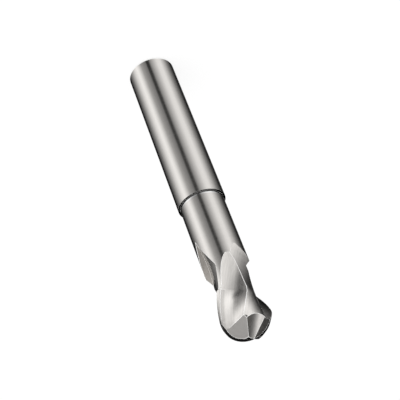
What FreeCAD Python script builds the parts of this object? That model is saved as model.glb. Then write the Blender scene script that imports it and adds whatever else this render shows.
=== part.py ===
import FreeCAD, Part
import math
import os
import Sketcher
from FreeCAD import Vector

# Ball nose end mill in solid carbide: two flutes, right-hand helix, plain cylindrical shank
# and a relieved neck. The tool stands on its shank end: +Z runs along the axis to the ball's
# tip, and the origin is the centre of the shank's end face. Angles round the tool are counted
# from the front (-Y) towards the right (+X), the way the helix climbs.

SIZES = {
    "overall_length": 83.0,  # shank end to ball tip
    "shank_dia": 12.0,  # clamping shank
    "shank_length": 45.0,  # shank end face to the step
    "shank_chamfer": 0.5,  # chamfer round the shank end
    "neck_dia": 11.0,  # relieved neck
    "cut_dia": 12.0,  # cutting diameter, twice the ball radius
    "cut_length": 12.0,  # length of cut, from the tip back to the head's cone
    "head_cone": 0.5,  # length of the cone between neck and head
    "flute_count": 2,  # flutes, evenly spaced
    "helix_lead": 60.0,  # axial advance of the helix in one turn
    "edge_phase": -102.0,  # angle of the first edge at the ball's equator
    "rake_lead_angle": 36.0,  # angle from the edge to the rake wheels' mid plane
    "rake_floor": 3.9,  # axis to the floor under the rake wheels
    "rake_root": 1.85,  # rake wheel's mid plane to the root of the rake wall
    "rake_wall_tilt": 42.0,  # rake wall against the radial direction, across the flute
    "floor_bulge": 10.5,  # radius of the convex floor
    "rake_width": 4.2,  # finishing rake wheel's mid plane to its heel-side face
    "rake_wheel": 28.0,  # radius of the wheel that finishes the rake side
    "rake_stop": 14.5,  # tip to the place where that wheel stops
    "floor_width": 7.58,  # roughing wheel's mid plane to its heel-side face
    "floor_wheel": 22.0,  # radius of the wheel that opens the flute
    "floor_stop": 9.08,  # tip to the place where that wheel stops
    "floor_swivel": 6.5,  # angle by which that wheel stands steeper than the helix
    "heel_lead_angle": 128.0,  # angle from the edge to the heel wheel's mid plane
    "heel_floor": 4.01,  # axis to the bottom of the heel-side trough
    "heel_offset": 0.73,  # trough's lowest line off the heel wheel's mid plane
    "heel_trough": 9.2,  # radius of the heel-side trough across the flute
    "heel_wheel": 62.0,  # radius of the wheel that grinds the heel side
    "heel_stop": 10.6,  # tip to the place where the heel wheel stops
    "overrun": 5.0,  # how far each wheel's pass runs on beyond the tip
    "floor_turn": 60.0,  # angle about the opening wheel's axis that covers its run-out
    "finish_turn": 25.0,  # the same for the two larger wheels
    "clearance": 2.0,  # how far the wheels' profiles stand out beyond the blank
    "margin": 0.15,  # unrelieved strip behind the edge
    "primary_width": 0.6,  # width of the first relief land
    "primary_relief": 10.0,  # angle of the first relief
    "secondary_width": 2.4,  # width of the second relief land
    "secondary_relief": 26.0,  # angle of the second relief
    "lead_in": 0.05,  # the first relief's line is drawn this far beyond the edge's circle
    "land_reach": 1.0,  # how far the lands reach back beyond the cone onto the neck
    "ball_sweep": 32.4,  # angle that the ball's edge gains on the helix up to the tip
    "gash_side": -80.0,  # angle of the gash's rake wall
    "gash_slope": 47.4,  # gash root against the tool's axis
    "gash_opening": 113.0,  # angle between the gash's wall and its floor
    "web": 0.3,  # thickness between the two gash walls at the tip
    "flat_side": 32.0,  # direction that the heel flat faces
    "flat_tilt": 58.0,  # heel flat's normal against the tool's axis
    "flat_depth": 4.55,  # ball centre to the heel flat
}

doc = FreeCAD.newDocument("BallNoseEndMill")
sheet = doc.addObject("Spreadsheet::Sheet", "Sizes")
for row, (alias, value) in enumerate(SIZES.items(), start=1):
    sheet.set("A%d" % row, alias)
    sheet.set("B%d" % row, str(value))
    sheet.setAlias("B%d" % row, alias)
doc.recompute()

body = doc.addObject("PartDesign::Body", "EndMill")
body.Label = "end_mill"


def sized(text):
    """Puts the sheet's name in front of every size that an expression names."""
    for alias in sorted(SIZES, key=len, reverse=True):
        text = text.replace("$" + alias, "Sizes." + alias)
    return text


def origin_item(role):
    for item in body.Origin.OriginFeatures:
        if item.Role == role:
            return item
    raise ValueError("no origin item " + role)


def frame_text(lift, turn, lean="0", out="0"):
    """Expression of a frame: raised along the axis, turned about it, leant over its own Y
    axis, then moved out along its own Z axis."""
    spin = "create(<<rotation>>; create(<<vector>>; %s); %s)"
    step = "create(<<placement>>; create(<<vector>>; 0; 0; %s); " + spin + ")"
    parts = [step % (lift, "0; 0; 1", turn), step % ("0", "0; 1; 0", lean), step % (out, "0; 0; 1", "0")]
    return sized(" * ".join(parts))


def new_sketch(name, role, frame=None):
    sketch = body.newObject("Sketcher::SketchObject", name)
    sketch.AttachmentSupport = [(origin_item(role), "")]
    sketch.MapMode = "FlatFace"
    if frame:
        sketch.setExpression("AttachmentOffset", frame)
    return sketch


def bind(sketch, constraint, text):
    index = sketch.addConstraint(constraint)
    sketch.setExpression("Constraints[%d]" % index, sized(text))


def pin(sketch, geo, pos, across, up, guess):
    """Fixes a point of a sketch by its two distances from the sketch's origin."""
    bind(sketch, Sketcher.Constraint("DistanceX", -1, 1, geo, pos, guess[0]), across)
    bind(sketch, Sketcher.Constraint("DistanceY", -1, 1, geo, pos, guess[1]), up)


def value_of(text):
    """Number that an expression gives with the sizes in the sheet now."""
    return float(sheet.evalExpression(sized(text).replace("Sizes.", "")))


def outline(sketch, corners):
    """Closed run of straight lines through corners, each bound by two expressions."""
    guesses = [(value_of(across), value_of(up)) for across, up in corners]
    for index in range(len(corners)):
        start = guesses[index]
        end = guesses[(index + 1) % len(corners)]
        sketch.addGeometry(Part.LineSegment(Vector(start[0], start[1], 0), Vector(end[0], end[1], 0)), False)
    for index in range(len(corners)):
        after = (index + 1) % len(corners)
        sketch.addConstraint(Sketcher.Constraint("Coincident", index, 2, after, 1))
    for index, (across, up) in enumerate(corners):
        pin(sketch, index, 1, across, up, guesses[index])


z_axis = (origin_item("Z_Axis"), [""])

# The blank: one turned profile from the shank's chamfer to the ball.
blank_sketch = new_sketch("BlankProfile", "XZ_Plane")
ball_z = "($overall_length - $cut_dia / 2)"
neck_end = "($overall_length - $cut_length - $head_cone)"
turned = [
    ("0", "0"),
    ("$shank_dia / 2 - $shank_chamfer", "0"),
    ("$shank_dia / 2", "$shank_chamfer"),
    ("$shank_dia / 2", "$shank_length"),
    ("$neck_dia / 2", "$shank_length"),
    ("$neck_dia / 2", neck_end),
    ("$cut_dia / 2", neck_end + " + $head_cone"),
    ("$cut_dia / 2", ball_z),
]
spots = [(value_of(across), value_of(up)) for across, up in turned]
for index in range(len(turned) - 1):
    start = Vector(spots[index][0], spots[index][1], 0)
    end = Vector(spots[index + 1][0], spots[index + 1][1], 0)
    blank_sketch.addGeometry(Part.LineSegment(start, end), False)
    if index:
        blank_sketch.addConstraint(Sketcher.Constraint("Coincident", index - 1, 2, index, 1))
    pin(blank_sketch, index, 1, turned[index][0], turned[index][1], spots[index])
last = len(turned) - 2
pin(blank_sketch, last, 2, turned[-1][0], turned[-1][1], spots[-1])
centre = Vector(0, spots[-1][1], 0)
ball = blank_sketch.addGeometry(
    Part.ArcOfCircle(Part.Circle(centre, Vector(0, 0, 1), spots[-1][0]), 0, math.pi / 2), False)
tip = Vector(0, value_of("$overall_length"), 0)
core = blank_sketch.addGeometry(Part.LineSegment(tip, Vector(0, 0, 0)), False)
blank_sketch.addConstraint(Sketcher.Constraint("Coincident", last, 2, ball, 1))
blank_sketch.addConstraint(Sketcher.Constraint("Coincident", ball, 2, core, 1))
blank_sketch.addConstraint(Sketcher.Constraint("Coincident", core, 2, 0, 1))
blank_sketch.addConstraint(Sketcher.Constraint("PointOnObject", ball, 3, -2))
blank_sketch.addConstraint(Sketcher.Constraint("Vertical", core))
bind(blank_sketch, Sketcher.Constraint("DistanceY", -1, 1, ball, 3, spots[-1][1]), ball_z)

blank = body.newObject("PartDesign::Revolution", "Blank")
blank.Profile = blank_sketch
blank.ReferenceAxis = (blank_sketch, ["V_Axis"])
blank.Angle = 360.0
doc.recompute()


def edge_turn(height):
    """Angle of the first edge at a height, as an expression."""
    return "($edge_phase + (%s - %s) * 360 / $helix_lead)" % (height, ball_z)


def across_flute(stop, lead_angle, floor, swivel="0"):
    """Frame in a flute's own cross plane: Y away from the tool's axis, X towards the heel."""
    height = "($overall_length - %s)" % stop
    turn = edge_turn(height) + " + %s - 180" % lead_angle
    lean = "180 - atan(2 * pi * %s / $helix_lead) / 1 deg + %s" % (floor, swivel)
    return frame_text(height, turn, lean)


reach = "($cut_dia / 2 + $clearance)"


def wheel_axis(sketch, height):
    """Horizontal construction line that stands for the grinding wheel's axis."""
    level = value_of(height)
    half = value_of("$cut_dia / 2")
    line = sketch.addGeometry(Part.LineSegment(Vector(-half, level, 0), Vector(half, level, 0)), True)
    sketch.addConstraint(Sketcher.Constraint("Horizontal", line))
    pin(sketch, line, 1, "-$cut_dia / 2", height, (-half, level))
    bind(sketch, Sketcher.Constraint("DistanceX", line, 1, line, 2, 2 * half), "$cut_dia")


def swept(sketch, name, height):
    """Takes a profile away along the tool's helix, towards the tip."""
    helix = body.newObject("PartDesign::SubtractiveHelix", name)
    helix.Profile = sketch
    helix.ReferenceAxis = z_axis
    helix.Mode = "pitch-height-angle"
    helix.setExpression("Pitch", sized("$helix_lead"))
    helix.setExpression("Height", sized(height))
    helix.Angle = 0.0
    return helix


def run_out(sketch, name, angle):
    """The wheel's own round end, where it lifts out of the blank on the shank's side."""
    groove = body.newObject("PartDesign::Groove", name)
    groove.Profile = sketch
    groove.ReferenceAxis = (sketch, ["Axis0"])
    groove.setExpression("Angle", sized(angle))
    groove.Reversed = True
    return groove


def rake_wheel(name, stop, width, radius, swivel):
    """A wheel's profile on the rake side: a straight rake wall and a slightly convex floor."""
    sketch = new_sketch(name, "XY_Plane", across_flute(stop, "$rake_lead_angle", "$rake_floor", swivel))
    bulge_y = "$rake_floor - $floor_bulge"
    bulge = value_of("$floor_bulge")
    mid = value_of(bulge_y)
    root_u = -value_of("$rake_root")
    root_y = mid + math.sqrt(bulge ** 2 - root_u ** 2)
    far = value_of(reach)
    side = value_of(width)
    far_y = mid + math.sqrt(bulge ** 2 - side ** 2)
    slant = math.radians(value_of("$rake_wall_tilt") - 90)
    top_u = root_u + (far - root_y) / math.tan(slant)
    circle = Part.Circle(Vector(0, mid, 0), Vector(0, 0, 1), bulge)
    sketch.addGeometry(Part.LineSegment(Vector(top_u, far, 0), Vector(root_u, root_y, 0)), False)
    sketch.addGeometry(Part.ArcOfCircle(
        circle, math.atan2(far_y - mid, side), math.atan2(root_y - mid, root_u)), False)
    sketch.addGeometry(Part.LineSegment(Vector(side, far_y, 0), Vector(side, far, 0)), False)
    sketch.addGeometry(Part.LineSegment(Vector(side, far, 0), Vector(top_u, far, 0)), False)
    sketch.addConstraint(Sketcher.Constraint("Coincident", 0, 2, 1, 2))
    sketch.addConstraint(Sketcher.Constraint("Coincident", 1, 1, 2, 1))
    sketch.addConstraint(Sketcher.Constraint("Coincident", 2, 2, 3, 1))
    sketch.addConstraint(Sketcher.Constraint("Coincident", 3, 2, 0, 1))
    sketch.addConstraint(Sketcher.Constraint("Vertical", 2))
    sketch.addConstraint(Sketcher.Constraint("Horizontal", 3))
    sketch.addConstraint(Sketcher.Constraint("PointOnObject", 1, 3, -2))
    bind(sketch, Sketcher.Constraint("DistanceY", -1, 1, 1, 3, mid), bulge_y)
    bind(sketch, Sketcher.Constraint("Radius", 1, bulge), "$floor_bulge")
    bind(sketch, Sketcher.Constraint("DistanceX", -1, 1, 0, 2, root_u), "-$rake_root")
    bind(sketch, Sketcher.Constraint("DistanceY", -1, 1, 3, 1, far), reach)
    bind(sketch, Sketcher.Constraint("DistanceX", -1, 1, 3, 1, side), width)
    bind(sketch, Sketcher.Constraint("Angle", 0, slant), "-90 deg + $rake_wall_tilt * 1 deg")
    wheel_axis(sketch, "$rake_floor + " + radius)
    doc.recompute()
    return sketch


# The flute is opened by a small wheel with a wide face, then finished on the rake side by a
# narrower, larger one that runs out further up the neck.
floor_sketch = rake_wheel("FloorWheel", "$floor_stop", "$floor_width", "$floor_wheel", "$floor_swivel")
floor_pass = swept(floor_sketch, "FloorPass", "$floor_stop + $overrun")
floor_end = run_out(floor_sketch, "FloorRunOut", "$floor_turn")
doc.recompute()
rake_sketch = rake_wheel("RakeWheel", "$rake_stop", "$rake_width", "$rake_wheel", "0")
rake_pass = swept(rake_sketch, "RakePass", "$rake_stop + $overrun")
rake_end = run_out(rake_sketch, "RakeRunOut", "$finish_turn")
doc.recompute()

# Heel side of the flute: a shallow trough that leaves the land's heel standing.
heel_frame = across_flute("$heel_stop", "$heel_lead_angle", "$heel_floor")
heel_sketch = new_sketch("HeelWheel", "XY_Plane", heel_frame)
trough = value_of("$heel_trough")
low_u = -value_of("$heel_offset")
level = value_of("$heel_floor + $heel_trough")
heel_side = "1 - $cut_dia / 2"
left = value_of(heel_side)
right = value_of("$cut_dia / 2")
left_y = level - math.sqrt(trough ** 2 - (left - low_u) ** 2)
right_y = level - math.sqrt(trough ** 2 - (right - low_u) ** 2)
top = value_of(reach)
circle = Part.Circle(Vector(low_u, level, 0), Vector(0, 0, 1), trough)
heel_sketch.addGeometry(Part.ArcOfCircle(
    circle, math.atan2(left_y - level, left - low_u), math.atan2(right_y - level, right - low_u)), False)
heel_sketch.addGeometry(Part.LineSegment(Vector(right, right_y, 0), Vector(right, top, 0)), False)
heel_sketch.addGeometry(Part.LineSegment(Vector(right, top, 0), Vector(left, top, 0)), False)
heel_sketch.addGeometry(Part.LineSegment(Vector(left, top, 0), Vector(left, left_y, 0)), False)
heel_sketch.addConstraint(Sketcher.Constraint("Coincident", 0, 2, 1, 1))
heel_sketch.addConstraint(Sketcher.Constraint("Coincident", 1, 2, 2, 1))
heel_sketch.addConstraint(Sketcher.Constraint("Coincident", 2, 2, 3, 1))
heel_sketch.addConstraint(Sketcher.Constraint("Coincident", 3, 2, 0, 1))
heel_sketch.addConstraint(Sketcher.Constraint("Vertical", 1))
heel_sketch.addConstraint(Sketcher.Constraint("Horizontal", 2))
heel_sketch.addConstraint(Sketcher.Constraint("Vertical", 3))
pin(heel_sketch, 0, 3, "-$heel_offset", "$heel_floor + $heel_trough", (low_u, level))
bind(heel_sketch, Sketcher.Constraint("Radius", 0, trough), "$heel_trough")
pin(heel_sketch, 1, 2, "$cut_dia / 2", reach, (right, top))
bind(heel_sketch, Sketcher.Constraint("DistanceX", -1, 1, 2, 2, left), heel_side)
wheel_axis(heel_sketch, "$heel_floor + $heel_wheel")
doc.recompute()
heel_pass = swept(heel_sketch, "HeelPass", "$heel_stop + $overrun")
doc.recompute()
heel_end = run_out(heel_sketch, "HeelRunOut", "$finish_turn")
doc.recompute()

# Relief behind the edge: a narrow margin, then two falling lands.
first_start = "$lead_in / tan($primary_relief * 1 deg) - $margin"
first_end = "-$margin - $primary_width"
first_drop = "$primary_width * tan($primary_relief * 1 deg)"
second_end = first_end + " - $secondary_width"
second_drop = "$secondary_width * tan($secondary_relief * 1 deg)"
relief_corners = [
    ("$cut_dia / 2 + $lead_in", first_start),
    ("$cut_dia / 2 - " + first_drop, first_end),
    ("$cut_dia / 2 - %s - %s" % (first_drop, second_drop), second_end),
    (reach, second_end),
    (reach, first_start),
]
land_start = "(%s - $land_reach)" % neck_end
land_sketch = new_sketch("LandProfile", "XY_Plane", frame_text(land_start, edge_turn(land_start) + " - 90"))
outline(land_sketch, relief_corners)
doc.recompute()
land = swept(land_sketch, "LandRelief", ball_z + " - " + land_start)
doc.recompute()

# The same relief on the ball: its profile shrinks with the ball's rings up to the tip.
rings = []
for number, share in enumerate((0.0, 0.25, 0.5, 0.7, 0.85, 0.94, 0.985)):
    size = math.sqrt(1 - share ** 2)
    height = "(%s + $cut_dia / 2 * %r)" % (ball_z, share)
    turn = "min(%s + $ball_sweep * %r; $gash_side) - 90" % (edge_turn(height), 1 - size)
    ring = new_sketch("BallLand%d" % number, "XY_Plane", frame_text(height, turn))
    outline(ring, [("(%s) * %r" % (across, size), "(%s) * %r" % (up, size)) for across, up in relief_corners])
    rings.append(ring)
ball_land = body.newObject("PartDesign::SubtractiveLoft", "BallRelief")
ball_land.Profile = rings[0]
ball_land.Sections = rings[1:]
ball_land.Ruled = False
doc.recompute()

# The gash opens the flute to the tip: its wall carries the ball's edge, its floor slopes down.
gash_sketch = new_sketch("GashProfile", "XY_Plane",
                         frame_text("$overall_length", "$gash_side - 90", "-$gash_slope"))
outline(gash_sketch, [
    ("0", "$web / 2"),
    ("$cut_dia", "$web / 2"),
    ("$cut_dia", "$cut_dia"),
    ("$cut_dia * cos($gash_opening * 1 deg)", "$web / 2 + $cut_dia * sin($gash_opening * 1 deg)"),
])
gash = body.newObject("PartDesign::Pocket", "Gash")
gash.Profile = gash_sketch
gash.Midplane = True
gash.setExpression("Length", sized("2 * $cut_dia"))
doc.recompute()

# A flat across the end of the heel-side trough.
flat_sketch = new_sketch("FlatProfile", "XY_Plane",
                         frame_text(ball_z, "$flat_side - 90", "$flat_tilt", "$flat_depth"))
outline(flat_sketch, [
    ("-$cut_dia / 2", "-$cut_dia / 2"),
    ("$cut_dia / 2", "-$cut_dia / 2"),
    ("$cut_dia / 2", "$cut_dia / 2"),
    ("-$cut_dia / 2", "$cut_dia / 2"),
])
flat = body.newObject("PartDesign::Pocket", "HeelFlat")
flat.Profile = flat_sketch
flat.Reversed = True
flat.setExpression("Length", sized("$cut_dia / 2"))
doc.recompute()

# Both flutes are alike, turned round the axis.
flutes = body.newObject("PartDesign::PolarPattern", "Flutes")
flutes.Originals = [floor_pass, floor_end, rake_pass, rake_end, heel_pass, heel_end,
                    land, ball_land, gash, flat]
flutes.Axis = z_axis
flutes.Angle = 360.0
flutes.setExpression("Occurrences", sized("$flute_count"))
body.Tip = flutes
doc.recompute()

for item in doc.Objects:
    if "Invalid" in item.State or "Error" in item.State:
        raise RuntimeError("failed: " + item.Name)
shape = body.Shape
if shape.isNull() or not shape.isValid():
    raise RuntimeError("end mill: the shape is not valid")
print("end mill", round(shape.Volume, 2), len(shape.Solids), len(shape.Faces), shape.BoundBox)
os.makedirs("parts", exist_ok=True)
shape.exportStep("parts/end_mill.step")
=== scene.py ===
import math

import bmesh
import bpy
import numpy as np
from bpy.props import FloatProperty, FloatVectorProperty, PointerProperty
from bpy.types import Operator, Panel, PropertyGroup
from mathutils import Matrix, Vector


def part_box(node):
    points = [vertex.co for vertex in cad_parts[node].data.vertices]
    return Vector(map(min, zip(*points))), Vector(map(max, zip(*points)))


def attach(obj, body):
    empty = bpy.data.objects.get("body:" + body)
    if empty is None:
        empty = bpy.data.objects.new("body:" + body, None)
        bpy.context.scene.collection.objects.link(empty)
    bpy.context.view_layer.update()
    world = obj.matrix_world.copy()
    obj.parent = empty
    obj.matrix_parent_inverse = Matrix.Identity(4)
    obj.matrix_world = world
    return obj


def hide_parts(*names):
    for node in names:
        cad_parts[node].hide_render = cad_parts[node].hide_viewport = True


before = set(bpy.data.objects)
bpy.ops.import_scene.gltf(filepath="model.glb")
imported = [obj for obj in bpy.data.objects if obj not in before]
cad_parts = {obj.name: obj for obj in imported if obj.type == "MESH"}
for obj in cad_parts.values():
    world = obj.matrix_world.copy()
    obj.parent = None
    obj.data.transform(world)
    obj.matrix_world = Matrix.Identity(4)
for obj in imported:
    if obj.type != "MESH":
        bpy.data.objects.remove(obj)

# Looks for a two-flute ball nose end mill in bright ground carbide: the ground faces, the
# broken edges and the studio that it is pictured in. The tool stands on its shank end, its
# axis is Z and the ball's tip is up. The front is -Y, and bearings are turned from the front
# towards +X.

bl_info = {
    "name": "Ball Nose End Mill",
    "version": (1, 0, 0),
    "blender": (4, 5, 0),
    "location": "3D View > Sidebar > End Mill",
    "description": "Ground carbide finish and a studio for a ball nose end mill",
    "category": "Object",
}

CAD_NODE = "end_mill"
BODY = "root"
TOOL_LOW, TOOL_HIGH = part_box(CAD_NODE)
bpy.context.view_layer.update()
TIP = TOOL_HIGH.z
RADIUS = TOOL_HIGH.x

# The faces of the tool. A face's number is the place of its finish in the list of materials.
SHANK, NECK, FLUTE, LAND, BALL, GASH, HEEL_FLAT, END, SHOULDER, RAKE, SIDE, EDGE = range(12)

WHITE = (1.0, 1.0, 1.0, 1.0)


class ToolSizes(PropertyGroup):
    """Sizes that the finish follows."""

    shank_length: FloatProperty(
        name="Shank length", description="Shank end to the step",
        default=0.045, unit="LENGTH")
    neck_radius: FloatProperty(
        name="Neck radius", description="Radius of the relieved neck",
        default=0.0055, unit="LENGTH")
    head_length: FloatProperty(
        name="Head length", description="Tip to the end of the neck",
        default=0.0125, unit="LENGTH")
    helix_lead: FloatProperty(
        name="Helix lead", description="Advance of the flutes in one turn",
        default=0.060, unit="LENGTH")
    edge_break: FloatProperty(
        name="Edge break", description="Width that the edges' tiny roundings are shares of",
        default=0.00014, unit="LENGTH")
    crease_angle: FloatProperty(
        name="Crease angle", description="Faces that meet at more than this angle have an edge",
        default=math.radians(18), subtype="ANGLE")
    flat_bearing: FloatProperty(
        name="Flat bearing", description="Direction that the heel flat faces",
        default=math.radians(32), subtype="ANGLE")
    flat_tilt: FloatProperty(
        name="Flat tilt", description="Heel flat's normal against the axis",
        default=math.radians(58), subtype="ANGLE")
    gash_bearing: FloatProperty(
        name="Gash bearing", description="Direction that the gash's floor faces",
        default=math.radians(-47.9), subtype="ANGLE")
    gash_tilt: FloatProperty(
        name="Gash tilt", description="Normal of the gash's floor against the axis",
        default=math.radians(47.3), subtype="ANGLE")
    side_bearing: FloatProperty(
        name="Side bearing", description="Direction that the flat mark of a wheel's side faces",
        default=math.radians(-27), subtype="ANGLE")
    side_tilt: FloatProperty(
        name="Side tilt", description="Normal of that flat mark against the axis",
        default=math.radians(67.8), subtype="ANGLE")
    wall_bearing: FloatProperty(
        name="Gash wall bearing", description="Direction that the gash's upright wall faces",
        default=math.radians(10), subtype="ANGLE")


class FinishColours(PropertyGroup):
    """Colour and polish of the ground carbide."""

    carbide: FloatVectorProperty(
        name="Carbide", description="Colour of bare ground carbide",
        default=(0.80, 0.774, 0.744), subtype="COLOR", size=3, min=0, max=1)
    shank_roughness: FloatProperty(
        name="Shank roughness", description="Polish of the centreless ground shank and neck",
        default=0.17, min=0, max=1, subtype="FACTOR")
    flute_roughness: FloatProperty(
        name="Flute roughness", description="Polish of the flutes, the ball and the gashes",
        default=0.24, min=0, max=1, subtype="FACTOR")
    flat_roughness: FloatProperty(
        name="Flat roughness", description="Polish of the heel flat",
        default=0.42, min=0, max=1, subtype="FACTOR")


class StudioSettings(PropertyGroup):
    """Floor, light tent and camera."""

    floor_size: FloatProperty(
        name="Floor size", description="Side of the square floor",
        default=6.0, unit="LENGTH")
    tent_radius: FloatProperty(
        name="Tent radius", description="Radius of the light tent round the tool",
        default=0.60, unit="LENGTH")
    light_power: FloatProperty(
        name="Light power", description="Power of the overhead light",
        default=5.0, min=0, unit="POWER")
    ambient: FloatProperty(
        name="Ambient", description="Even light from all round",
        default=0.88, min=0)
    backdrop: FloatProperty(
        name="Backdrop", description="White behind the floor, as bright as the floor's far end",
        default=0.972, min=0)
    lens: FloatProperty(
        name="Lens", description="Focal length",
        default=87.3, unit="CAMERA")


# ---- helpers


def put(tree, kind, inputs=None, **settings):
    """Adds a node, sets its properties and its inputs: a socket is linked, a value is set."""
    node = tree.nodes.new(kind)
    for name, value in settings.items():
        setattr(node, name, value)
    for key, value in (inputs or {}).items():
        socket = node.inputs[key]
        if isinstance(value, bpy.types.NodeSocket):
            tree.links.new(value, socket)
        else:
            socket.default_value = value
    return node


def maths(tree, operation, first, second=0.0):
    return put(tree, "ShaderNodeMath", {0: first, 1: second}, operation=operation).outputs[0]


def blend(tree, share, first, second):
    """The first colour where the share is 0 and the second where it is 1."""
    return put(tree, "ShaderNodeMix", {"Factor": share, 6: first, 7: second},
               data_type="RGBA").outputs[2]


def ramp(tree, value, stops):
    """Colour ramp through (place, grey or colour) stops."""
    node = put(tree, "ShaderNodeValToRGB", {"Fac": value})
    band = node.color_ramp
    while len(band.elements) > 1:
        band.elements.remove(band.elements[-1])
    for index, (place, shade) in enumerate(stops):
        element = band.elements[0] if index == 0 else band.elements.new(place)
        element.position = place
        grey = not hasattr(shade, "__len__")
        element.color = (shade, shade, shade, 1) if grey else (*shade, 1)
    return node.outputs["Color"]


def object_spot(tree):
    return put(tree, "ShaderNodeTexCoord").outputs["Object"]


def new_material(name):
    material = bpy.data.materials.new(name)
    material.use_nodes = True
    material.node_tree.nodes.clear()
    return material


def add_object(name, data):
    obj = bpy.data.objects.new(name, data)
    bpy.context.scene.collection.objects.link(obj)
    return obj


def values(items, name, width=1, kind=float):
    """One property of all the polygons or vertices of a mesh, as an array."""
    flat = np.empty(len(items) * width, kind)
    items.foreach_get(name, flat)
    return flat.reshape(-1, width) if width > 1 else flat


# ---- ground carbide

FINE_SHARE = 0.6         # of the fine lines in the grain; the rest is broad lines
DARK_AT, LIGHT_AT = 0.30, 0.70
LINE_SPREAD = 0.15       # how far the roughness changes over the lines
CLOUD_SPREAD = 0.05      # and over the clouds
CLOUD_SCALE = 160.0
LINE_DEPTH = 0.00001

# The painted highlight at the neck's root, a white band in the neck's colour, in metres over the
# shoulder.
HIGHLIGHT_FULL_TO = 0.0006
HIGHLIGHT_GONE_AT = 0.0008


def carbide(name, colour, roughness, stretch, contrast, depth,
            attribute=None, anisotropy=0.0, turned=False, shade=1.0, metal=1.0):
    """Ground carbide. Noise is stretched along the grinding lines: stretch gives its scale in
    the three directions of the object's coordinates, or of a stored attribute."""
    material = new_material(name)
    tree = material.node_tree
    if attribute:
        spot = put(tree, "ShaderNodeAttribute", attribute_name=attribute).outputs["Vector"]
    else:
        spot = object_spot(tree)
    lines = put(tree, "ShaderNodeMapping", {"Vector": spot, "Scale": stretch}).outputs["Vector"]
    fine = put(tree, "ShaderNodeTexNoise",
               {"Vector": lines, "Scale": 1.0, "Detail": 4.0, "Roughness": 0.7})
    broad = put(tree, "ShaderNodeTexNoise",
                {"Vector": lines, "Scale": 0.17, "Detail": 2.0, "Roughness": 0.5})
    cloud = put(tree, "ShaderNodeTexNoise",
                {"Vector": object_spot(tree), "Scale": CLOUD_SCALE, "Detail": 3.0})
    grain = maths(tree, "ADD", maths(tree, "MULTIPLY", fine.outputs["Fac"], FINE_SHARE),
                  maths(tree, "MULTIPLY", broad.outputs["Fac"], 1 - FINE_SHARE))
    # Shade scales the carbide's colour. Its lighter and darker copies paint light and shade into
    # the faces.
    dark = tuple(c * shade * (1 - contrast) for c in colour)
    light = tuple(min(1.0, c * shade * (1 + contrast)) for c in colour)
    tint = ramp(tree, grain, [(DARK_AT, dark), (LIGHT_AT, light)])
    by_line = maths(tree, "MULTIPLY", maths(tree, "SUBTRACT", grain, 0.5), LINE_SPREAD)
    by_cloud = maths(tree, "ADD", maths(tree, "MULTIPLY", cloud.outputs["Fac"], CLOUD_SPREAD),
                     roughness - CLOUD_SPREAD / 2)
    bump = put(tree, "ShaderNodeBump",
               {"Strength": depth, "Distance": LINE_DEPTH, "Height": grain})
    shader = put(tree, "ShaderNodeBsdfPrincipled", {
        "Base Color": tint, "Metallic": metal, "Roughness": maths(tree, "ADD", by_line, by_cloud),
        "Normal": bump.outputs["Normal"], "Anisotropic": anisotropy})
    if turned:
        tangent = put(tree, "ShaderNodeTangent", direction_type="RADIAL", axis="Z")
        tree.links.new(tangent.outputs["Tangent"], shader.inputs["Tangent"])
    put(tree, "ShaderNodeOutputMaterial", {"Surface": shader.outputs["BSDF"]})
    return material


def node_of(tree, kind):
    return next(node for node in tree.nodes if node.bl_idname == kind)


def hollow(material, bearing, middle, curve):
    """Lets a plane gash floor look slightly hollow across: the bumped normal leans with the
    distance from the floor's middle line, the same way on both flutes."""
    tree = material.node_tree
    grain_bump = node_of(tree, "ShaderNodeBump")
    parts = put(tree, "ShaderNodeSeparateXYZ", {0: object_spot(tree)}).outputs
    side = maths(tree, "MULTIPLY", maths(tree, "SIGN", parts["Y"]), -1.0)
    across = maths(tree, "ADD", maths(tree, "MULTIPLY", parts["X"], math.cos(bearing)),
                   maths(tree, "MULTIPLY", parts["Y"], math.sin(bearing)))
    off = maths(tree, "SUBTRACT", maths(tree, "MULTIPLY", across, side), middle)
    rise = maths(tree, "MULTIPLY", maths(tree, "MULTIPLY", off, off), curve)
    bend = put(tree, "ShaderNodeBump", {"Strength": 1.0, "Distance": 1.0, "Height": rise})
    tree.links.new(bend.outputs["Normal"], grain_bump.inputs["Normal"])


def painted_root_highlight(material, shoulder):
    """Paints a highlight into the neck's colour at its root: a white band just over the shoulder.
    """
    tree = material.node_tree
    height = put(tree, "ShaderNodeSeparateXYZ", {0: object_spot(tree)}).outputs["Z"]
    share = put(tree, "ShaderNodeMapRange",
                {"Value": height, "From Min": shoulder + HIGHLIGHT_FULL_TO,
                 "From Max": shoulder + HIGHLIGHT_GONE_AT, "To Min": 1.0, "To Max": 0.0}).outputs[0]
    colour = node_of(tree, "ShaderNodeBsdfPrincipled").inputs["Base Color"]
    ground = colour.links[0].from_socket
    tree.links.new(blend(tree, share, ground, WHITE), colour)


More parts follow.
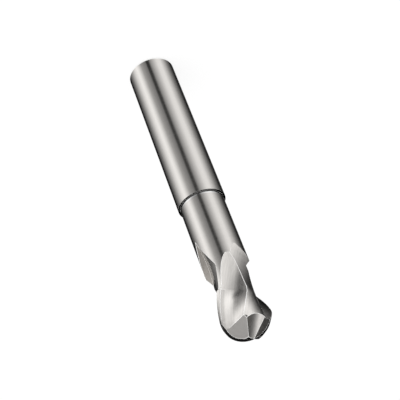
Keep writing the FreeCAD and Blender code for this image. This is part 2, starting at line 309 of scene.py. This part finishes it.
def finishes(colours, sizes):
    """One material for each kind of ground face, in the order of the face numbers. Their shades
    paint light and shade: lighter and darker copies of the one carbide.
    """
    polished = {"colour": tuple(colours.carbide), "roughness": colours.shank_roughness}
    ground = {"colour": tuple(colours.carbide), "roughness": colours.flute_roughness}
    matter = {"colour": tuple(colours.carbide), "roughness": colours.flat_roughness}
    ringed = dict(polished, stretch=(90, 90, 7000), anisotropy=0.3, turned=True,
                  contrast=0.03, depth=0.06)
    helical = dict(ground, attribute="lay")
    materials = [
        carbide("shank_ground", **ringed),
        carbide("neck_ground", **ringed),
        # Painted light: the flute, land, gash and heel flat are lighter copies of the carbide,
        # lifted by their shade to look more brightly lit.
        carbide("flute_ground_painted_light", **helical, stretch=(1900, 1900, 40),
                contrast=0.14, depth=0.35, shade=1.06),
        carbide("land_ground_painted_light", **helical, stretch=(2600, 2600, 40),
                contrast=0.12, depth=0.2, shade=1.1),
        # Painted shade: the ball is darkened to stand in for dark reflections, over its real
        # grinding lines.
        carbide("ball_ground_painted_shade", **helical, stretch=(2600, 2600, 150),
                contrast=0.5, depth=0.25, shade=0.24),
        carbide("gash_ground_painted_light", **ground, stretch=(1500, 1500, 60),
                contrast=0.12, depth=0.2, shade=1.1),
        carbide("heel_flat_ground_painted_light", **matter, stretch=(700, 3000, 700),
                contrast=0.04, depth=0.1, shade=1.08),
        carbide("end_ground", **ground, stretch=(2500, 120, 120),
                contrast=0.10, depth=0.15, shade=0.95),
        # Painted shade: the step's ring is painted almost black, as if it lay in shadow.
        carbide("shoulder_ground_painted_shade", **polished, stretch=(2500, 120, 120),
                contrast=0.10, depth=0.15, shade=0.05),
        # Painted shade: the rake faces and the gash's upright wall are darkened to stand in for
        # dark reflections.
        carbide("rake_ground_painted_shade", **helical, stretch=(2600, 2600, 60),
                contrast=0.5, depth=0.25, shade=0.15),
        # Painted shade: the wheel's flat side mark is darkened to match the neck's darker edge
        # beside it.
        carbide("wheel_side_ground_painted_shade", **ground, stretch=(900, 900, 900),
                contrast=0.15, depth=0.2, shade=0.74),
        # The rounded edges are real. Their whiter, less metallic colour is a painted highlight
        # that makes them show as bright lines.
        carbide("edge_broken_painted_highlight", colour=(1.0, 0.985, 0.97), roughness=0.45,
                stretch=(900, 900, 900), contrast=0.02, depth=0.1, metal=0.4),
    ]
    # The neck's colour gets a painted highlight, a white band, at its root.
    painted_root_highlight(materials[NECK], sizes.shank_length)
    hollow(materials[GASH], sizes.gash_bearing, middle=0.0008, curve=100.0)
    return materials


# ---- the tool

# Merging of the mesh, in metres.
JOIN_WITHIN = 2e-6
SLIVER = 1e-6

# What tells the faces apart. A lean is the cosine between a triangle's normal and the way that
# such a face looks. A gap is in metres.
WALL_LEAN = 0.9
STEP_GAP = 1e-6
NECK_LEAN = 0.98
NECK_GAP_INSIDE, NECK_GAP_OUTSIDE = 1.5e-5, 1e-5
LAND_LEAN = 0.85
LAND_FROM = 0.0054       # radius
BALL_LEAN = 0.85
BALL_GAP = 1e-4          # over the ball's centre
BALL_FROM = 0.84         # share of the ball's radius
RAKE_LEAN = 0.6
RAKE_DROP = -0.2         # the rake looks downwards more than this
PLANE_LEAN = 0.9998

# How far each kind of edge is rounded, as a share of the edge break.
OUTER_EDGE = 0.6
FULL_FOLD = math.radians(70)         # an outer edge that folds less is rounded less
INNER_CORNER = 0.3
STEP_EDGE, STEP_CORNER = 0.05, 0.1
NEAR_STEP = 1e-5         # metres
BLACKISH = 0.25          # times the above, between the ball, the rake and the flute
FLAT_TO_GASH = 0.4       # times the above
ROUNDING_SEGMENTS = 2

# Stand-ins for zero where something is divided by it.
NO_LENGTH = 1e-9
NO_AREA = 1e-20


def merged_copy(name):
    """A closed copy of the tool's mesh, its loose triangles joined."""
    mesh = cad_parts[CAD_NODE].data.copy()
    mesh.name = name
    form = bmesh.new()
    form.from_mesh(mesh)
    bmesh.ops.remove_doubles(form, verts=form.verts, dist=JOIN_WITHIN)
    bmesh.ops.dissolve_degenerate(form, dist=SLIVER, edges=form.edges)
    form.to_mesh(mesh)
    form.free()
    mesh.materials.clear()
    return mesh


def facing(bearing, tilt):
    """Unit normal at a bearing, leant from the axis by the tilt."""
    return np.array([math.sin(tilt) * math.sin(bearing), -math.sin(tilt) * math.cos(bearing),
                     math.cos(tilt)])


def number_faces(mesh, sizes):
    """Gives every triangle the number of the ground face that it belongs to."""
    centre = values(mesh.polygons, "center", 3)
    normal = values(mesh.polygons, "normal", 3)
    radius = np.hypot(centre[:, 0], centre[:, 1])
    arm = np.maximum(radius, NO_LENGTH)
    height = centre[:, 2]
    outward = (centre[:, :2] * normal[:, :2]).sum(1) / arm
    forward = (centre[:, 0] * normal[:, 1] - centre[:, 1] * normal[:, 0]) / arm
    ball_centre = np.array([0, 0, TIP - RADIUS])
    from_ball = np.linalg.norm(centre - ball_centre, axis=1)
    towards = ((centre - ball_centre) * normal).sum(1) / np.maximum(from_ball, NO_LENGTH)

    faces = np.full(len(mesh.polygons), FLUTE)
    shank = height < sizes.shank_length + STEP_GAP
    faces[shank] = SHANK
    faces[shank & (outward <= WALL_LEAN)] = END
    faces[(faces == END) & (height > sizes.shank_length / 2)] = SHOULDER
    beyond = height > sizes.shank_length
    neck = ((radius > sizes.neck_radius - NECK_GAP_INSIDE)
            & (radius < sizes.neck_radius + NECK_GAP_OUTSIDE))
    faces[beyond & neck & (outward > NECK_LEAN)] = NECK
    head = height > TIP - sizes.head_length
    faces[head & (radius > LAND_FROM) & (outward > LAND_LEAN)] = LAND
    ball = (height > ball_centre[2] + BALL_GAP) & (from_ball > RADIUS * BALL_FROM)
    faces[ball & (towards > BALL_LEAN)] = BALL
    rake = (normal[:, 2] < RAKE_DROP) & (forward > RAKE_LEAN)
    faces[head & (faces == FLUTE) & rake] = RAKE
    for face, bearing, tilt in ((HEEL_FLAT, sizes.flat_bearing, sizes.flat_tilt),
                                (GASH, sizes.gash_bearing, sizes.gash_tilt),
                                (SIDE, sizes.side_bearing, sizes.side_tilt),
                                (RAKE, sizes.wall_bearing, math.pi / 2)):
        for turn in (0, math.pi):
            alike = normal @ facing(bearing + turn, tilt) > PLANE_LEAN
            faces[alike & beyond & (faces != NECK)] = face
    mesh.polygons.foreach_set("material_index", faces.astype(np.int32))


def weigh_edges(mesh, sizes):
    """Weights the numbered mesh's edges for rounding: outer edges by their fold, inner corners
    evenly, and the step and the blackish faces' edges hardly."""
    form = bmesh.new()
    form.from_mesh(mesh)
    weight = form.edges.layers.float.new("bevel_weight_edge")
    for edge in form.edges:
        fold = edge.calc_face_angle(0.0)
        if fold < sizes.crease_angle:
            continue
        outer = OUTER_EDGE * min(1.0, fold / FULL_FOLD)
        edge[weight] = outer if edge.is_convex else INNER_CORNER
        middle = (edge.verts[0].co + edge.verts[1].co) / 2
        if abs(middle.z - sizes.shank_length) < NEAR_STEP:
            edge[weight] = STEP_EDGE if edge.is_convex else STEP_CORNER
        kinds = {face.material_index for face in edge.link_faces}
        if kinds & {BALL, RAKE} and kinds <= {BALL, RAKE, FLUTE}:
            edge[weight] *= BLACKISH
        if kinds == {HEEL_FLAT, GASH}:
            edge[weight] *= FLAT_TO_GASH
    form.to_mesh(mesh)
    form.free()


def tool_tree(sizes, materials):
    """Geometry nodes that store coordinates which turn with the helix, so that grinding lines
    follow the flutes, and set the material of each ground face."""
    tree = bpy.data.node_groups.new("ground_tool", "GeometryNodeTree")
    tree.is_modifier = True
    ports = tree.interface
    ports.new_socket("Geometry", in_out="INPUT", socket_type="NodeSocketGeometry")
    lead = ports.new_socket("Helix lead", in_out="INPUT", socket_type="NodeSocketFloat")
    lead.default_value = sizes.helix_lead
    ports.new_socket("Geometry", in_out="OUTPUT", socket_type="NodeSocketGeometry")
    source = put(tree, "NodeGroupInput").outputs
    place = put(tree, "GeometryNodeInputPosition").outputs[0]
    height = put(tree, "ShaderNodeSeparateXYZ", {0: place}).outputs[2]
    turns = maths(tree, "DIVIDE", height, source["Helix lead"])
    lay = put(tree, "ShaderNodeVectorRotate",
              {"Vector": place, "Angle": maths(tree, "MULTIPLY", turns, -2 * math.pi)},
              rotation_type="Z_AXIS")
    store = put(tree, "GeometryNodeStoreNamedAttribute",
                {"Geometry": source["Geometry"], "Name": "lay", "Value": lay.outputs[0]},
                data_type="FLOAT_VECTOR", domain="POINT")
    real = put(tree, "GeometryNodeRealizeInstances", {"Geometry": store.outputs["Geometry"]})
    index = put(tree, "GeometryNodeInputMaterialIndex").outputs[0]
    number = put(tree, "GeometryNodeStoreNamedAttribute",
                 {"Geometry": real.outputs[0], "Name": "ground_face", "Value": index},
                 data_type="INT", domain="FACE")
    last = number.outputs["Geometry"]
    for order, material in enumerate(materials):
        stored = put(tree, "GeometryNodeInputNamedAttribute", {"Name": "ground_face"},
                     data_type="INT")
        same = put(tree, "FunctionNodeCompare", {2: stored.outputs["Attribute"], 3: order},
                   data_type="INT", operation="EQUAL")
        last = put(tree, "GeometryNodeSetMaterial",
                   {"Geometry": last, "Selection": same.outputs[0],
                    "Material": material}).outputs[0]
    put(tree, "NodeGroupOutput", {0: last})
    return tree


def crisp_normals(mesh, sizes):
    """Shading normals: a ground face is smooth in itself up to its rounded edges, and the
    roundings take over from the faces beside them. Shank and neck are true cylinders."""
    normal = values(mesh.polygons, "normal", 3)
    area = values(mesh.polygons, "area")
    kind = values(mesh.polygons, "material_index", kind=np.int32)
    spots = values(mesh.vertices, "co", 3)
    around = [[] for _ in spots]
    for polygon in mesh.polygons:
        for vertex in polygon.vertices:
            around[vertex].append(polygon.index)
    near = math.cos(sizes.crease_angle)
    shown = np.empty((len(mesh.loops), 3))
    for polygon in mesh.polygons:
        own = normal[polygon.index]
        for loop in polygon.loop_indices:
            vertex = mesh.loops[loop].vertex_index
            x, y, _ = spots[vertex]
            if kind[polygon.index] in (SHANK, NECK):
                shown[loop] = (x, y, 0)
                continue
            beside = np.array(around[vertex])
            ground = beside[kind[beside] != EDGE]
            if kind[polygon.index] != EDGE:
                ground = ground[normal[ground] @ own > near]
            elif len(ground):
                if np.isin(kind[ground], (SHANK, NECK)).any():
                    shown[loop] = (x, y, 0)
                    continue
                closest = normal[ground[np.argmax(normal[ground] @ own)]]
                ground = ground[normal[ground] @ closest > near]
            picked = ground if len(ground) else beside
            shown[loop] = (normal[picked] * area[picked, None]).sum(0)
    shown /= np.maximum(np.linalg.norm(shown, axis=1), NO_AREA)[:, None]
    mesh.normals_split_custom_set(shown.tolist())


def plain_mesh(obj, name):
    """The evaluated object as a plain mesh, with its modifiers taken off."""
    evaluated = obj.evaluated_get(bpy.context.evaluated_depsgraph_get())
    mesh = bpy.data.meshes.new_from_object(evaluated)
    mesh.name = name
    obj.modifiers.clear()
    obj.data = mesh
    return mesh


class MILL_OT_ground_tool(Operator):
    """Makes the ground end mill with broken edges and a finish for each of its faces"""

    bl_idname = "mill.ground_tool"
    bl_label = "Ground Tool"

    def execute(self, context):
        sizes = context.scene.mill_sizes
        mesh = merged_copy("ground_tool")
        number_faces(mesh, sizes)
        weigh_edges(mesh, sizes)
        tool = add_object("ground_tool", mesh)
        materials = finishes(context.scene.mill_finish, sizes)
        for material in materials:
            mesh.materials.append(material)
        mesh.polygons.foreach_set("use_smooth", np.ones(len(mesh.polygons), bool))
        rounding = tool.modifiers.new("edge_break", "BEVEL")
        rounding.width = sizes.edge_break
        rounding.segments = ROUNDING_SEGMENTS
        rounding.limit_method = "WEIGHT"
        rounding.material = EDGE
        rounding.use_clamp_overlap = False
        grinding = tool.modifiers.new("grinding", "NODES")
        grinding.node_group = tool_tree(sizes, materials)
        crisp_normals(plain_mesh(tool, "ground_tool"), sizes)
        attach(tool, BODY)
        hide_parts(CAD_NODE)
        return {"FINISHED"}


# ---- the studio

# Glow of the tent's cloth as (bearing in degrees, brightness) stops: near the tool and low
# down, far from it and higher up, and at the ceiling.
NEAR_GLOW = [
    (-180, 0.40), (-165, 0.15), (-150, 0.005), (-132, 0.02), (-118, 0.12), (-105, 0.23),
    (-85, 0.58), (-66, 0.93), (-50, 0.90), (-28, 0.51), (-15, 0.30), (-8, 0.04), (3, 0.03),
    (9, 0.22), (18, 0.27), (34, 0.41), (50, 0.87), (62, 1.08), (78, 0.87), (100, 0.42),
    (115, 0.20), (128, 0.09), (142, 0.0), (160, 0.01), (172, 0.06), (180, 0.40)]
FAR_GLOW = [
    (-180, 0.01), (-150, 0.01), (-130, 0.04), (-110, 0.26), (-87, 0.58), (-66, 1.02),
    (-45, 0.90), (-22, 0.74), (-14, 1.02), (0, 1.25), (14, 1.15), (34, 0.90), (50, 0.82),
    (70, 0.55), (90, 0.36), (115, 0.10), (140, 0.02), (180, 0.01)]
CEILING = [
    (-180, 0.02), (-140, 0.03), (-110, 0.14), (-90, 0.40), (-66, 0.85), (-40, 0.70),
    (0, 0.45), (60, 0.36), (100, 0.22), (140, 0.03), (180, 0.02)]

# The cloth's rise is -1 on the card at the shank, 0 on it from the reach on and at the dome's
# foot, and 1 overhead. Over these ranges of it one glow gives way to the next.
NEAR_TO_FAR = (-0.20, 0.04)
FAR_TO_CEILING = (0.12, 0.32)
CARD_REACH = 0.25

# The dome's rows are evenly spaced, and the card's lie at these distances from the shank and
# at the tent's radius.
CARD_ROWS = [0, 0.002, 0.006, 0.015, 0.04, 0.08, 0.1, 0.12, 0.14, 0.17, 0.2, 0.3, 0.4]
TENT_COLUMNS = 121
DOME_ROWS = 19

# The floor lies this far under the tool, and the card and the dome this far over the floor.
FLOOR_GAP = 2e-5
CARD_GAP = 1e-5
DOME_GAP = 3e-5

FLOOR_WHITE = (0.97, 0.97, 0.97, 1)
FLOOR_GLOW = 0.80        # share of plain white in the floor that the eye and the metal see

LAMP_PLACE = (0.25, -0.35, 0.9)
LAMP_SIDE = (0.25, -0.35, 0.85)      # direction from what it lights to the lamp
LAMP_SIZE = 0.8

CAMERA_PLACE = (0.0, -0.19512, 0.17431)
CAMERA_RIGHT = (-0.932, 0.201, 0.3005)
CAMERA_BACK = (0.0, -0.831, 0.556)
CAMERA_SHIFT = (-0.00125, 0.00125)
SENSOR_WIDTH = 36.0
CLIP_START, CLIP_END = 0.01, 20.0


def grid(name, rows, bearings, rises):
    """Sheet of quads through rows of points. Each point keeps the bearing of its column and
    the rise of its row."""
    across = len(rows[0])
    points = [point for row in rows for point in row]
    quads = [(r * across + c, r * across + c + 1, (r + 1) * across + c + 1, (r + 1) * across + c)
             for r in range(len(rows) - 1) for c in range(across - 1)]
    mesh = bpy.data.meshes.new(name)
    mesh.from_pydata(points, [], quads)
    for kept, numbers in (("bearing", np.tile(bearings, len(rows))),
                          ("rise", np.repeat(rises, across))):
        layer = mesh.attributes.new(kept, "FLOAT", "POINT")
        layer.data.foreach_set("value", np.array(numbers, np.float32))
    return add_object(name, mesh)


def tent_cloth():
    """Graduated cloth of the light tent. Low down it has a softbox on each side of the camera
    and a dark gap where the camera looks in; higher up it is bright in front, black behind
    the tool and dim at the ceiling. Its bearings run from 0 at -180 degrees to 1 at 180."""
    material = new_material("tent_cloth")
    tree = material.node_tree
    bearing = put(tree, "ShaderNodeAttribute", attribute_name="bearing").outputs["Fac"]
    rise = put(tree, "ShaderNodeAttribute", attribute_name="rise").outputs["Fac"]
    shade, far, ceiling = (
        ramp(tree, bearing, [(degrees / 360 + 0.5, glow) for degrees, glow in stops])
        for stops in (NEAR_GLOW, FAR_GLOW, CEILING))
    for upper, (low, high) in ((far, NEAR_TO_FAR), (ceiling, FAR_TO_CEILING)):
        share = put(tree, "ShaderNodeMapRange",
                    {"Value": rise, "From Min": low, "From Max": high},
                    interpolation_type="SMOOTHSTEP").outputs[0]
        shade = blend(tree, share, shade, upper)
    light = put(tree, "ShaderNodeEmission", {"Color": shade, "Strength": 1.0})
    put(tree, "ShaderNodeOutputMaterial", {"Surface": light.outputs[0]})
    return material


def seen_by_metal_only(obj):
    obj.visible_camera = False
    obj.visible_diffuse = False
    obj.visible_transmission = False
    obj.visible_volume_scatter = False
    obj.visible_shadow = False


def seen_directly(tree):
    """1 for what the eye sees straight, mirrored or through glass, and 0 for what only
    lights other things."""
    path = put(tree, "ShaderNodeLightPath").outputs
    seen = maths(tree, "MAXIMUM", path["Is Camera Ray"], path["Is Glossy Ray"])
    return maths(tree, "MAXIMUM", seen, path["Is Transmission Ray"])


def white_ground(name):
    """Pale floor: white to the eye and to the metal, and it keeps the tool's soft shadow."""
    material = new_material(name)
    tree = material.node_tree
    share = maths(tree, "MULTIPLY", seen_directly(tree), FLOOR_GLOW)
    matt = put(tree, "ShaderNodeBsdfDiffuse", {"Color": FLOOR_WHITE})
    white = put(tree, "ShaderNodeEmission", {"Color": WHITE, "Strength": 1.0})
    mix = put(tree, "ShaderNodeMixShader", {0: share, 1: matt.outputs[0], 2: white.outputs[0]})
    put(tree, "ShaderNodeOutputMaterial", {"Surface": mix.outputs[0]})
    return material


def add_floor(size, level):
    half = size / 2
    mesh = bpy.data.meshes.new("floor")
    mesh.from_pydata([(-half, -half, level), (half, -half, level), (half, half, level),
                      (-half, half, level)], [], [(0, 1, 2, 3)])
    mesh.materials.append(white_ground("floor_white"))
    floor = add_object("floor", mesh)


def add_tent(reach, level):
    """Dome over the tool and card on the floor round it, which only the metal sees. A column
    of the card runs out from the point of the shank that mirrors the front to its bearing."""
    cloth = tent_cloth()
    turns = [math.radians(a) for a in np.linspace(-180, 180, TENT_COLUMNS)]
    bearings = [a / (2 * math.pi) + 0.5 for a in turns]
    climbs = [math.radians(e) for e in np.linspace(0, 90, DOME_ROWS)]
    dome_rows = [[(reach * math.cos(e) * math.sin(a), -reach * math.cos(e) * math.cos(a),
                   level + DOME_GAP + reach * math.sin(e)) for a in turns] for e in climbs]
    dome = grid("tent_dome", dome_rows, bearings, [2 * e / math.pi for e in climbs])
    steps = CARD_ROWS + [reach]
    card_rows = [[(RADIUS * math.sin(a / 2) + s * math.sin(a),
                   -RADIUS * math.cos(a / 2) - s * math.cos(a), level + CARD_GAP)
                  for a in turns] for s in steps]
    card = grid("tent_card", card_rows, bearings, [min(0.0, s / CARD_REACH - 1.0) for s in steps])
    for piece in (dome, card):
        piece.data.materials.append(cloth)
        seen_by_metal_only(piece)


def add_lamp(power):
    lamp = bpy.data.lights.new("overhead", "AREA")
    lamp.energy = power
    lamp.size = LAMP_SIZE
    light = add_object("overhead", lamp)
    turn = Vector(LAMP_SIDE).to_track_quat("Z", "Y").to_matrix().to_4x4()
    light.matrix_world = Matrix.Translation(LAMP_PLACE) @ turn
    light.visible_glossy = False


def add_world(ambient, backdrop):
    """Even light from all round, with a white backdrop to the eye and to the metal."""
    world = bpy.data.worlds.new("studio_world")
    bpy.context.scene.world = world
    world.use_nodes = True
    tree = world.node_tree
    tree.nodes.clear()
    lift = maths(tree, "MULTIPLY", seen_directly(tree), backdrop - ambient)
    back = put(tree, "ShaderNodeBackground",
               {"Color": WHITE, "Strength": maths(tree, "ADD", lift, ambient)})
    put(tree, "ShaderNodeOutputWorld", {"Surface": back.outputs[0]})


def add_camera(lens):
    eye = bpy.data.cameras.new("camera")
    eye.lens = lens
    eye.sensor_width = SENSOR_WIDTH
    eye.shift_x, eye.shift_y = CAMERA_SHIFT
    eye.clip_start, eye.clip_end = CLIP_START, CLIP_END
    camera = add_object("camera", eye)
    back = Vector(CAMERA_BACK).normalized()
    up = back.cross(Vector(CAMERA_RIGHT).normalized()).normalized()
    right = up.cross(back).normalized()
    turn = Matrix((right, up, back)).transposed().to_4x4()
    camera.matrix_world = Matrix.Translation(CAMERA_PLACE) @ turn
    bpy.context.scene.camera = camera


class MILL_OT_studio(Operator):
    """Makes the floor, the light tent, the lamp, the world and the camera"""

    bl_idname = "mill.studio"
    bl_label = "Studio"

    def execute(self, context):
        studio = context.scene.mill_studio
        level = TOOL_LOW.z - FLOOR_GAP
        add_floor(studio.floor_size, level)
        add_tent(studio.tent_radius, level)
        add_lamp(studio.light_power)
        add_world(studio.ambient, studio.backdrop)
        add_camera(studio.lens)
        context.scene.view_settings.view_transform = "Standard"
        return {"FINISHED"}


class MILL_PT_panel(Panel):
    """Lists the sizes, the finish and the steps that make the tool and its studio"""

    bl_label = "Ball Nose End Mill"
    bl_idname = "MILL_PT_panel"
    bl_space_type = "VIEW_3D"
    bl_region_type = "UI"
    bl_category = "End Mill"

    def draw(self, context):
        scene = context.scene
        for title, group in (("Sizes", scene.mill_sizes), ("Finish", scene.mill_finish),
                             ("Studio", scene.mill_studio)):
            box = self.layout.box()
            box.label(text=title)
            for name in group.__annotations__:
                box.prop(group, name)
        for operator in (MILL_OT_ground_tool, MILL_OT_studio):
            self.layout.operator(operator.bl_idname)


CLASSES = (ToolSizes, FinishColours, StudioSettings, MILL_OT_ground_tool, MILL_OT_studio,
           MILL_PT_panel)


def register():
    for item in CLASSES:
        bpy.utils.register_class(item)
    bpy.types.Scene.mill_sizes = PointerProperty(type=ToolSizes)
    bpy.types.Scene.mill_finish = PointerProperty(type=FinishColours)
    bpy.types.Scene.mill_studio = PointerProperty(type=StudioSettings)


def unregister():
    del bpy.types.Scene.mill_studio
    del bpy.types.Scene.mill_finish
    del bpy.types.Scene.mill_sizes
    for item in reversed(CLASSES):
        bpy.utils.unregister_class(item)


def main():
    register()
    bpy.ops.mill.ground_tool()
    bpy.ops.mill.studio()


if __name__ == "__main__":
    main()
